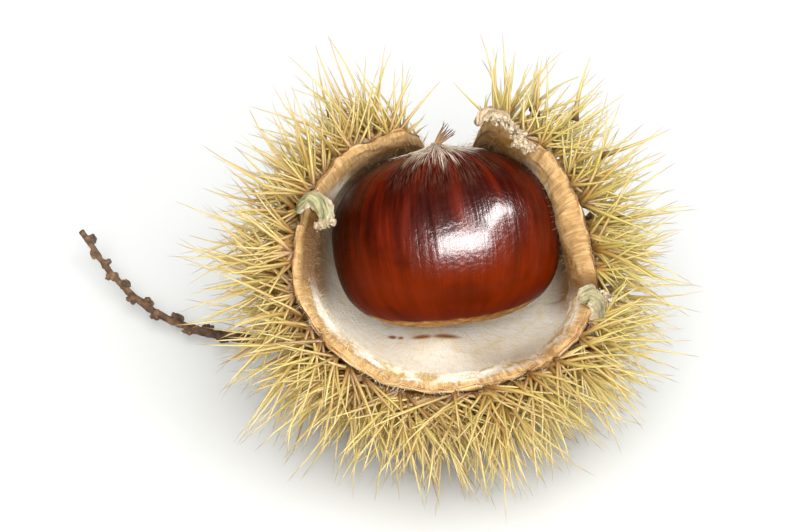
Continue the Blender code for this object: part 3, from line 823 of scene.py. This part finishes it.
def spinesOfFrame():
    # A spine's point in the CAD husk is a corner whose edges are all long. Its root is the mean of
    # the far ends of those edges
    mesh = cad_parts["husk"].data
    corners = np.zeros(len(mesh.vertices) * 3)
    mesh.vertices.foreach_get("co", corners)
    corners = corners.reshape(-1, 3) / mm
    _, first, same = np.unique(np.round(corners, 3), axis=0, return_index=True, return_inverse=True)
    places = corners[first]
    ends = np.zeros(len(mesh.edges) * 2, np.int64)
    mesh.edges.foreach_get("vertices", ends)
    ends = np.unique(np.sort(same.reshape(-1)[ends].reshape(-1, 2), axis=1), axis=0)
    ends = np.concatenate([ends, ends[:, ::-1]])
    length = np.linalg.norm(places[ends[:, 0]] - places[ends[:, 1]], axis=1)
    shortest = np.full(len(places), np.inf)
    np.minimum.at(shortest, ends[:, 0], length)
    total, count = np.zeros((len(places), 3)), np.zeros(len(places))
    np.add.at(total, ends[:, 0], places[ends[:, 1]])
    np.add.at(count, ends[:, 0], 1)
    isTip = shortest > spine["shortestCad"]
    return total[isTip] / count[isTip, None], places[isTip]


def starsOf(roots):
    # Each root joins the first root within the star's reach, and then that one's own first root.
    # A star's middle is the mean of its roots
    near = np.linalg.norm(roots[:, None] - roots[None], axis=-1) < spine["starReach"]
    first = near.argmax(axis=1)
    _, star = np.unique(first[first], return_inverse=True)
    star = star.reshape(-1)
    middle = np.zeros((star.max() + 1, 3))
    np.add.at(middle, star, roots)
    return star, middle / np.bincount(star)[:, None]


def onTheWall(roots):
    # Whether a root stands below the visible wall's edge: the nearest place up its own meridian is
    # found among sixty, and compared with the share of the meridian that is left
    own = toHusk(roots)
    degrees = bearing(own) % 360
    places = np.linspace(0.05, 0.99, 60)
    around, up = np.broadcast_arrays(degrees[:, None], places[None])
    skin = wallSkin(around, up, np.ones(up.shape))
    s = places[np.linalg.norm(skin - own[:, None], axis=-1).argmin(axis=1)]
    return s < shareAt(degrees) + 0.01


def clearOfCatkin(roots, tips):
    # Whether a straight spine keeps its distance from the catkin's line, at nine places along it
    t = np.linspace(0, 1, 9)[None, :, None]
    along = roots[:, None] + (tips - roots)[:, None] * t
    away = np.linalg.norm(along[:, :, None] - catkinLine(10)[None, None], axis=-1)
    return away.min(axis=(1, 2)) > spine["catkinGap"]


def clearOfMouth(tips):
    # Whether a tip stays outside the rim's circle, or well below the rim
    own = toHusk(tips)
    radius, height = rimAt(bearing(own))
    return (np.hypot(own[:, 0], own[:, 1]) > radius + spine["mouthGap"]) | (own[:, 2] < height - 12)


def rimSpines(draw):
    # Short spines all round, just below the rim: the wall's normal, plus a random share up the wall
    # and along the rim, and never into the mouth. In front more of them cross, and they are longer
    stars, each = spine["rimStars"], spine["rimEach"]
    degrees = np.repeat((np.arange(stars) + draw.uniform(-0.3, 0.3, stars)) * 360 / stars, each)
    s = shareAt(degrees) - np.repeat(draw.uniform(*spine["rimBelow"], stars), each)
    inNotch = (degrees > spine["notch"][0]) & (degrees < spine["notch"][1])
    count = len(degrees)
    roots = wallSkin(degrees, s, np.ones(count))
    out, level = compass(degrees)
    front = bellAt(degrees, *spine["frontAt"])
    climb = np.where(inNotch, draw.uniform(*spine["notchClimb"], count), draw.uniform(*spine["rimClimb"], count))
    aside = draw.normal(0, spine["rimAside"], count) * (1 + spine["frontCrossing"] * front)
    way = unit(wallNormal(degrees, s) + unit(upTheWall(degrees, s)) * climb[:, None] + level * aside[:, None])
    inward = np.minimum((way * out).sum(-1) - 0.22, 0)
    way = unit(way - out * inward[:, None])
    reach = np.where(inNotch, draw.uniform(*spine["notchLength"], count), draw.uniform(*spine["rimLength"], count))
    reach = reach * (1 + spine["frontLonger"] * front)
    return toWorld(roots - way * 0.5), toWorld(roots + way * reach[:, None])


def extraSpines(roots, tips, star, middle, draw):
    # Further spines between two of the same star: their directions mixed, with a random share of its
    # own and one of the star's, and shorter. Stars differ in length by soft noise, with a longer tuft
    # at the lower right. Those that meet the floor, the catkin or the mouth are left out
    many = spine["extra"] * 3
    way, length = unit(tips - roots), np.linalg.norm(tips - roots, axis=1)
    first = draw.integers(0, len(roots), many)
    shift = draw.permutation(len(roots))
    partner = shift[np.argsort(star[shift], kind="stable")]
    begins = np.searchsorted(star[partner], star[first])
    second = partner[begins + (draw.random(many) * np.bincount(star)[star[first]]).astype(int)]
    share = draw.uniform(0.25, 0.75, many)[:, None]
    mixed = unit(way[first] * (1 - share) + way[second] * share + draw.normal(0, spine["crossing"], (many, 3))
                 + draw.normal(0, spine["sway"], middle.shape)[star[first]])
    tuft = spine["tuft"] * bellAt(bearing(toHusk(middle)), *spine["tuftAt"])
    lobe = 1 + (spine["lobeHeight"] * softNoise(middle, spine["lobeSize"], 17, 2) + tuft)[star[first]]
    reach = draw.uniform(*spine["extraLength"], many) * np.minimum(length[first], length[second]) * lobe
    start = middle[star[first]] * 0.6 + roots[first] * 0.4 - mixed * 0.4
    end = start + mixed * reach[:, None]
    good = (first != second) & (end[:, 2] > spine["floorGap"]) & clearOfCatkin(start, end) & clearOfMouth(end)
    total = np.zeros(middle.shape)
    np.add.at(total, star, way)
    good &= (mixed * unit(total)[star[first]]).sum(-1) > 0.25
    good &= np.cumsum(good) <= spine["extra"]
    return start[good], end[good]


def addSpines(finish):
    # Three sorts: the CAD husk's own, the further ones and those below the rim. A spine's tone is
    # mostly random, and greener to the right
    draw = np.random.default_rng(21)
    roots, tips = spinesOfFrame()
    kept = onTheWall(roots)
    roots, tips = roots[kept], tips[kept]
    star, middle = starsOf(roots)
    print("spines in the frame:", len(roots), "stars:", len(middle))
    heart = middle[star] * 0.45 + roots * 0.55 - unit(tips - roots) * 0.5
    sorts = ((heart, tips, 1.0), (*extraSpines(roots, tips, star, middle, draw), spine["extraRadius"]),
             (*rimSpines(draw), spine["extraRadius"]))
    parts = []
    for starts, stops, thinner in sorts:
        count = len(starts)
        base = draw.uniform(*spine["baseRadius"], count) * thinner
        bends = draw.uniform(*spine["bend"], count)
        points, faces, along, each = needles(starts, stops, base, spine["tipRadius"], spine["sides"],
                                             spine["steps"], bends, draw, spine["flare"])
        right = ease((starts[:, 0] + 0.8 * starts[:, 1] + 8) / 46)
        tone = np.repeat(0.62 * draw.random(count) + 0.38 * right, each)
        points[:, 2] = np.maximum(points[:, 2], spine["floorGap"] * 0.2)
        parts.append((points, faces, {"along": along, "tone": tone}))
    points, faces, traits = joined(parts)
    addPiece("huskSpines", points, faces, finish, "husk", traits)


def spineFinish():
    finish, tree, shader = newMaterial("drySpines")
    coords, along, tone = objectCoords(tree), trait(tree, "along"), trait(tree, "tone")
    straw, green, brown = (ramp(along, spine[name]) for name in ("straw", "green", "brown"))
    mixed = blend(between(tone, 0.25, 0.75), straw, green)
    mixed = blend(between(tone, 0.07, 0.02), mixed, brown)
    patch = between(noiseOf(coords, 130.0, 3.0), 0.52, 0.75)
    feed(shader, {"Base Color": blend(patch, mixed, spine["patch"], 0.3),
                  "Roughness": spine["roughness"], "Specular IOR Level": spine["specular"]})
    bump(shader, noiseOf(coords, 2600.0, 2.0), spine["bump"])
    return finish


addSpines(spineFinish())
print("spines are made")


nut = {
    "centre": (0.9, 5.0, 0.0), "tipRise": 70, "turn": -6.5,
    "halfWidth": 16.4, "halfHeight": 12.7, "halfDepth": 10.8, "roundness": 2.25, "fullerFoot": 0.4,
    "backFlatness": 0.9, "beakRadius": 1.8, "beakHeight": 0.9, "rows": 160, "columns": 320, "ribHeight": 0.075,
    "footAt": -11.75, "footCurve": 0.012, "footWave": 0.35, "footGrain": 0.010, "footDepth": 0.006,
    "downCount": 700, "downLength": (0.8, 2.2), "downRadius": 0.03,
    "bristles": 11, "bristleLength": (3.2, 4.2), "bristleRadius": 0.17, "bristleLean": 0.85,
    "shell": ((0.34, (46, 7, 1)), (0.45, (64, 11, 1)), (0.55, (80, 17, 2)), (0.70, (96, 24, 3))),
    "foot": ((0.3, (128, 86, 44)), (0.55, (176, 132, 76)), (0.75, (206, 172, 120))),
    # the dark top is partly the shell's own tone and partly painted shade; the warm low part is partly its own tone
    # and partly painted bounce light; the dark left is painted shade along the edge
    "shadedDarkTop": (30, 4, 1), "warmToneAndBounceLow": (118, 38, 5), "darkPatch": (46, 8, 1), "shadedLeftEdge": (24, 4, 1),
    "bloom": (226, 208, 184), "haze": (142, 104, 84), "coatRoughness": 0.11, "bump": 0.06,
    # root colour, tip colour, roughness
    "down": ((196, 168, 136), (242, 232, 214), 0.5), "tuft": ((176, 138, 92), (70, 40, 20), 0.7),
}


def nutToWorld(points):
    # From the nut's own frame, with Z towards its tip and Y out of its back, to the row frame
    tip, turn = math.radians(-nut["tipRise"]), math.radians(nut["turn"])
    own = np.array(Matrix.Rotation(tip, 3, "X") @ Matrix.Rotation(turn, 3, "Y"))
    return points @ (huskTurn @ own).T + toWorld(np.array(nut["centre"]))


def nutSkin(latitude, around):
    # A superellipse: level radius and height, each to the power of the roundness, sum to 1, and the
    # power grows towards the foot in front. A bell-shaped beak stands on the top, and faint ribs run
    # from foot to tip
    up, level = np.sin(latitude), np.cos(latitude)
    power = nut["roundness"] + nut["fullerFoot"] * ease(-up / 0.6) * ease(1 - np.sin(around) / 0.6)
    swell = (np.abs(up) ** power + level ** power) ** (-1 / power)
    back = np.where(np.sin(around) > 0, nut["backFlatness"], 1.0)
    rib = softNoise(turned(around, 5, up * 0.8), 1.0, 4, 3)
    out = level * swell * (1 + nut["ribHeight"] * rib * level / nut["halfDepth"])
    x, y = nut["halfWidth"] * out * np.cos(around), nut["halfDepth"] * back * out * np.sin(around)
    beak = nut["beakHeight"] * np.exp(-(np.hypot(x, y) / nut["beakRadius"]) ** 2)
    return np.stack([x, y, nut["halfHeight"] * up * swell + np.where(up > 0, beak, 0)], -1)


def addNut(finish):
    # The skin on a grid, with a rough foot below a wavy line that curves up to both sides
    latitude = np.linspace(-np.pi / 2, np.pi / 2, nut["rows"] + 2)[1:-1]
    rows, columns = np.meshgrid(latitude, turnsRound(nut["columns"]), indexing="ij")
    grid = nutSkin(rows, columns)
    wave = softNoise(turned(columns, 3, 0.0), 1.0, 6, 3)
    line = nut["footAt"] + nut["footCurve"] * grid[..., 0] ** 2 + nut["footWave"] * wave
    foot = ease((line - grid[..., 2]) / 0.35)
    grain = softNoise(grid, 0.7, 12, 3)
    grid = grid * (1 + (foot * (nut["footGrain"] * grain - nut["footDepth"]))[..., None])
    points, faces = closedGrid(grid, *nutSkin(np.array([-np.pi / 2, np.pi / 2]), np.zeros(2)))
    stripes = np.concatenate([turned(columns, 1.0, np.sin(rows)).reshape(-1, 3), [[0, 0, -1], [0, 0, 1]]])
    fromTip = np.hypot(points[:, 0] / 5.6, (nut["halfHeight"] - points[:, 2]) / 3.0)
    addPiece("chestnut", nutToWorld(points), faces, finish, "nut",
             {"foot": np.append(foot, [1, 0]), "grain": stripes, "rise": points[:, 2] / nut["halfHeight"],
              "aside": points[:, 0] / nut["halfWidth"], "fromTip": fromTip})


def nutFinish():
    # Stripes from foot to tip. The top is darker, partly its own tone and partly painted shade. The low part is
    # warmer, partly its own tone and partly painted bounce light from the lining. There is painted shade along the
    # left edge, a pale bloom round the tip and a rough foot. The gloss fades on the low part, where the lining would
    # show in it
    finish, tree, shader = newMaterial("glossyChestnut")
    coords, grain = objectCoords(tree), trait(tree, "grain", "Vector")
    rise, foot, aside, fromTip = (trait(tree, name) for name in ("rise", "foot", "aside", "fromTip"))
    wide = streaksOf(grain, (7.5, 7.5, 1.0), 2.0, 0.5)
    thin = streaksOf(grain, (30.0, 30.0, 2.0), 3.0, 0.55)
    hairs = streaksOf(grain, (64.0, 64.0, 9.0), 3.0, 0.6)
    patch = between(streaksOf(grain, (2.2, 2.2, 2.6), 2.0), 0.50, 0.68)
    shell = ramp(plus(times(wide, 0.72), times(thin, 0.28)), nut["shell"])
    # painted shade: darker towards the top, on the darker stripes there, with the shell's own darker tone
    dark = times(between(rise, 0.0, 0.8), between(wide, 0.60, 0.42))
    shell = blend(dark, shell, nut["shadedDarkTop"], 0.6)
    # painted bounce light from the lining: warmer towards the foot, partly the shell's own warmer tone
    shell = blend(between(rise, 0.3, -0.6), shell, nut["warmToneAndBounceLow"], 0.5)
    shell = blend(patch, shell, nut["darkPatch"], 0.35)
    # painted shade: darker towards the left edge
    shell = blend(between(aside, -0.55, -0.98), shell, nut["shadedLeftEdge"], 0.6)
    ragged = swung(fromTip, wide, 2.4)
    bloom = times(between(ragged, 1.0, 0.3), between(hairs, 0.44, 0.60))
    haze = times(between(ragged, 2.4, 0.9), between(hairs, 0.40, 0.66))
    shell = blend(bloom, shell, nut["bloom"], 0.85)
    shell = blend(haze, shell, nut["haze"], 0.22)
    pale = ramp(noiseOf(coords, 900.0, 4.0), nut["foot"])
    matt = times(maths("MAXIMUM", foot, bloom), 0.5)
    rough = plus(plus(times(thin, 0.16), 0.15), matt, True)
    gloss = plus(times(between(rise, -0.6, 0.0), 0.15), 0.02)
    feed(shader, {"Base Color": blend(foot, shell, pale), "Roughness": rough,
                  "Specular IOR Level": gloss, "Coat Weight": gloss, "Coat Roughness": nut["coatRoughness"]})
    bump(shader, plus(thin, noiseOf(coords, 1300.0, 2.0)), nut["bump"])
    return finish


def addNutDown(finish):
    # Fine hairs that lie down the nut from its tip: each follows its meridian and lifts off a little
    draw = np.random.default_rng(33)
    count = nut["downCount"]
    latitude = np.pi / 2 - 0.05 - 0.30 * draw.random(count)
    around = draw.uniform(0, 2 * np.pi, count)
    start = nutSkin(latitude, around)
    ahead = nutSkin(latitude - 0.05, around + draw.normal(0, 0.03, count))
    outward = unit(start * np.array([1, 1.6, 1.6]))
    way = unit(unit(ahead - start) + outward * draw.uniform(-0.02, 0.08, count)[:, None])
    end = start + way * draw.uniform(*nut["downLength"], count)[:, None]
    points, faces, along, _ = needles(nutToWorld(start - outward * 0.05), nutToWorld(end),
                                      nut["downRadius"], 0.01, 3, 3, draw.uniform(0.02, 0.10, count), draw)
    addPiece("chestnutDown", points, faces, finish, "nut", {"along": along})


def addTuft(finish):
    # Dry bristles on the beak that fan out in the picture's plane and lean to its right
    draw = np.random.default_rng(8)
    count = nut["bristles"]
    lean = nut["bristleLean"] + np.linspace(-0.3, 0.3, count) + draw.normal(0, 0.04, count)
    way = unit(np.stack([np.sin(lean), -0.35 + 0.2 * np.cos(5 * np.arange(count)), np.cos(lean)], -1))
    foot = np.array([0, 0, nut["halfHeight"] + nut["beakHeight"] * 0.8]) + draw.normal(0, 0.12, (count, 3))
    tips = foot + way * draw.uniform(*nut["bristleLength"], count)[:, None]
    points, faces, along, _ = needles(nutToWorld(foot - way * 0.3), nutToWorld(tips),
                                      nut["bristleRadius"], 0.05, 6, 8, draw.uniform(0.02, 0.1, count), draw, 0.5)
    addPiece("chestnutTuft", points, faces, finish, "nut", {"along": along})


def hairFinish(name, root, tip, roughness):
    # From the root's colour to the tip's, moved by noise
    finish, tree, shader = newMaterial(name)
    share = swung(trait(tree, "along"), noiseOf(objectCoords(tree), 700.0, 2.0), 0.5, True)
    feed(shader, {"Base Color": blend(share, root, tip), "Roughness": roughness})
    return finish


addNut(nutFinish())
addNutDown(hairFinish("silveryDown", *nut["down"]))
addTuft(hairFinish("dryTuft", *nut["tuft"]))
print("chestnut is made")


def addCatkin(finish):
    # A thin axis whose radius falls evenly, with twisted grooves as 1 + 0.1 cos(3 turn + 0.9 reach), and
    # a cluster of shrivelled bracts at each knot, on alternate sides
    draw = np.random.default_rng(14)
    line = catkinLine(catkin["steps"])
    step, across, over = frameOf(line, np.array([0, 0, 1.0]))
    reach = reachAlong(line)
    share = reach / reach[-1]
    radius = catkin["thick"] + (catkin["thin"] - catkin["thick"]) * share
    turn = turnsRound(catkin["sides"])
    groove = 1 + catkin["grooveDepth"] * np.cos(catkin["grooves"] * turn[None] + reach[:, None] * catkin["twist"])
    spoke = (radius[:, None] * groove)[..., None] * spokes(turn, across, over)
    spoke = spoke * (1 + 0.3 * softNoise(line[:, None] + spoke, 0.8, 2, 2)[..., None])
    points, faces = closedGrid(line[:, None] + spoke, line[0], line[-1])
    parts = [(points, faces, {"share": np.append(np.repeat(share, catkin["sides"]), [0, 1])})]

    at = np.arange(catkin["knotSpacing"], reach[-1], catkin["knotSpacing"])
    knot, ahead = placesOn(line, at, reach), placesOn(step, at, reach)
    side = placesOn(across, at, reach) * (-1.0) ** np.arange(len(at))[:, None]
    size = np.interp(at, [0, reach[-1]], catkin["knotRadius"])[:, None]
    for bract in range(catkin["bracts"]):
        spin = draw.normal(0, 0.55, knot.shape) * np.array([1, 1, 0.7])
        centre = knot + (side * 0.45 + spin * 0.55 + np.array([0, 0, 0.12])) * size
        small = size * draw.uniform(*catkin["bractSize"], knot.shape)
        turns = axesFrom(unit(ahead + draw.normal(0, 0.6, knot.shape)), draw)
        small[:, 0] *= catkin["bractLength"]
        centre[:, 2] = np.maximum(centre[:, 2], small.max(1) + 0.1)
        points, faces, dent, each = lumps(centre, small, turns, 6, 9, 0.35, 0.5, 40 + bract)
        parts.append((points, faces, {"share": np.repeat(at / reach[-1], each) + dent * 0.15}))
    points, faces, traits = joined(parts)
    points[:, 2] = np.maximum(points[:, 2], 0.05)
    addPiece("catkinSprig", points, faces, finish, "catkin", traits)


def catkinFinish():
    finish, tree, shader = newMaterial("dryCatkin")
    coords = objectCoords(tree)
    patch = noiseOf(coords, 700.0, 5.0, 0.65)
    dark, light = (ramp(patch, catkin[name]) for name in ("dark", "light"))
    feed(shader, {"Base Color": blend(between(trait(tree, "share"), 0.35, 1.0), dark, light),
                  "Roughness": catkin["roughness"]})
    bump(shader, noiseOf(coords, 1800.0, 4.0), catkin["bump"])
    return finish


addCatkin(catkinFinish())
print("catkin is made")
